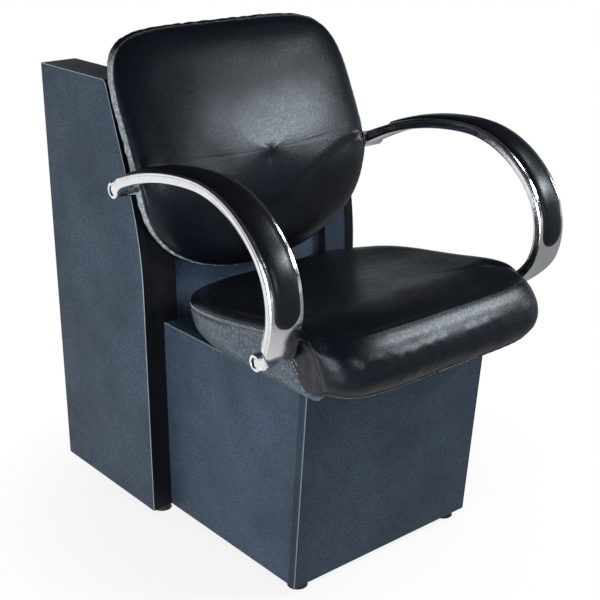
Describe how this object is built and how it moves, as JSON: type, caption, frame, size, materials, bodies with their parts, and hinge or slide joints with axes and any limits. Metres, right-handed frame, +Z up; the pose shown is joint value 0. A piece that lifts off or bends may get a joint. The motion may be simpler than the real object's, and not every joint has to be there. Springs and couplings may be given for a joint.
{
  "type": "dryer chair",
  "caption": "Upholstered salon dryer chair on a laminate box, with looped metal arms and a hollow leaning tower behind the back whose open recess takes a hood dryer.",
  "frame": {"origin": "on the floor, below the middle of the object's outline box", "axes": "+Z up, -Y to the front, where the sitter faces, +X to the right seen from the front"},
  "size_m": [0.652, 0.837, 0.899],
  "materials": {
    "laminate": "particle board faced with dark blue-grey laminate, fine mottle, satin",
    "laminate_dark": "the same laminate in the shaded recess and wing fronts, satin",
    "edge_band": "light grey edge banding, semi-gloss",
    "raw_board": "unfinished plywood",
    "upholstery": "near-black blue vinyl with a fine grain, soft sheen",
    "foam": "cut foam",
    "arm_metal": "cast, polished bright like chrome",
    "arm_pad": "self-skinned pad, satin black",
    "hardware": "zinc plated",
    "foot_plastic": "matt"
  },
  "bodies": {
    "root": {"tower_side_left": "laminate", "tower_side_right": "laminate", "inner_side_left": "laminate_dark", "inner_side_right": "laminate_dark", "wing_front_left": "laminate_dark", "wing_front_right": "laminate_dark", "wing_top_left": "laminate", "wing_top_right": "laminate", "wing_back_left": "laminate_dark", "wing_back_right": "laminate_dark", "wing_bottom_left": "raw_board", "wing_bottom_right": "raw_board", "edge_bands": "edge_band", "centre_panel": "laminate_dark", "dryer_board": "laminate_dark", "rear_stretcher": "laminate_dark", "box_side_left": "laminate", "box_side_right": "laminate", "box_front": "laminate", "box_deck": "laminate_dark", "box_floor": "raw_board", "deck_cleats": "raw_board", "box_cleats": "raw_board", "carcass_screws": "hardware", "seat_board": "raw_board", "seat_rail_left": "raw_board", "seat_rail_right": "raw_board", "seat_foam": "foam", "seat_cover": "upholstery", "seat_bolts": "hardware", "seat_tee_nuts": "hardware", "back_board": "raw_board", "back_foam": "foam", "back_cover": "upholstery", "back_panel": "upholstery", "back_ribs": "raw_board", "back_bolts": "hardware", "arm_left": "arm_metal", "arm_right": "arm_metal", "arm_pad_left": "arm_pad", "arm_pad_right": "arm_pad", "arm_bolts": "hardware", "arm_washers": "hardware", "arm_inserts": "hardware", "foot_tee_nuts": "hardware"},
    "pad_front_left": {"foot_pad_front_left": "foot_plastic"},
    "stem_front_left": {"foot_stem_front_left": "hardware"},
    "pad_front_right": {"foot_pad_front_right": "foot_plastic"},
    "stem_front_right": {"foot_stem_front_right": "hardware"},
    "pad_middle_left": {"foot_pad_middle_left": "foot_plastic"},
    "stem_middle_left": {"foot_stem_middle_left": "hardware"},
    "pad_middle_right": {"foot_pad_middle_right": "foot_plastic"},
    "stem_middle_right": {"foot_stem_middle_right": "hardware"},
    "pad_rear_left": {"foot_pad_rear_left": "foot_plastic"},
    "stem_rear_left": {"foot_stem_rear_left": "hardware"},
    "pad_rear_right": {"foot_pad_rear_right": "foot_plastic"},
    "stem_rear_right": {"foot_stem_rear_right": "hardware"}
  },
  "joints": [
    {"name": "height_front_left", "type": "slide", "parent": "root", "child": "pad_front_left", "axis": [0, 0, -1], "range_m": [0, 0.012]},
    {"name": "turn_front_left", "type": "hinge", "parent": "pad_front_left", "child": "stem_front_left", "pos_m": [-0.1805, -0.23498, 0.02], "axis": [0, 0, 1], "range_deg": [0, 3460]},
    {"name": "height_front_right", "type": "slide", "parent": "root", "child": "pad_front_right", "axis": [0, 0, -1], "range_m": [0, 0.012]},
    {"name": "turn_front_right", "type": "hinge", "parent": "pad_front_right", "child": "stem_front_right", "pos_m": [0.1805, -0.23498, 0.02], "axis": [0, 0, 1], "range_deg": [0, 3460]},
    {"name": "height_middle_left", "type": "slide", "parent": "root", "child": "pad_middle_left", "axis": [0, 0, -1], "range_m": [0, 0.012]},
    {"name": "turn_middle_left", "type": "hinge", "parent": "pad_middle_left", "child": "stem_middle_left", "pos_m": [-0.214, 0.1315, 0.02], "axis": [0, 0, 1], "range_deg": [0, 3460]},
    {"name": "height_middle_right", "type": "slide", "parent": "root", "child": "pad_middle_right", "axis": [0, 0, -1], "range_m": [0, 0.012]},
    {"name": "turn_middle_right", "type": "hinge", "parent": "pad_middle_right", "child": "stem_middle_right", "pos_m": [0.214, 0.1315, 0.02], "axis": [0, 0, 1], "range_deg": [0, 3460]},
    {"name": "height_rear_left", "type": "slide", "parent": "root", "child": "pad_rear_left", "axis": [0, 0, -1], "range_m": [0, 0.012]},
    {"name": "turn_rear_left", "type": "hinge", "parent": "pad_rear_left", "child": "stem_rear_left", "pos_m": [-0.214, 0.3915, 0.02], "axis": [0, 0, 1], "range_deg": [0, 3460]},
    {"name": "height_rear_right", "type": "slide", "parent": "root", "child": "pad_rear_right", "axis": [0, 0, -1], "range_m": [0, 0.012]},
    {"name": "turn_rear_right", "type": "hinge", "parent": "pad_rear_right", "child": "stem_rear_right", "pos_m": [0.214, 0.3915, 0.02], "axis": [0, 0, 1], "range_deg": [0, 3460]}
  ],
  "couplings": [
    {"joint": "turn_front_left", "follows": "height_front_left", "rad_per_m": 5026.5},
    {"joint": "turn_front_right", "follows": "height_front_right", "rad_per_m": 5026.5},
    {"joint": "turn_middle_left", "follows": "height_middle_left", "rad_per_m": 5026.5},
    {"joint": "turn_middle_right", "follows": "height_middle_right", "rad_per_m": 5026.5},
    {"joint": "turn_rear_left", "follows": "height_rear_left", "rad_per_m": 5026.5},
    {"joint": "turn_rear_right", "follows": "height_rear_right", "rad_per_m": 5026.5}
  ]
}
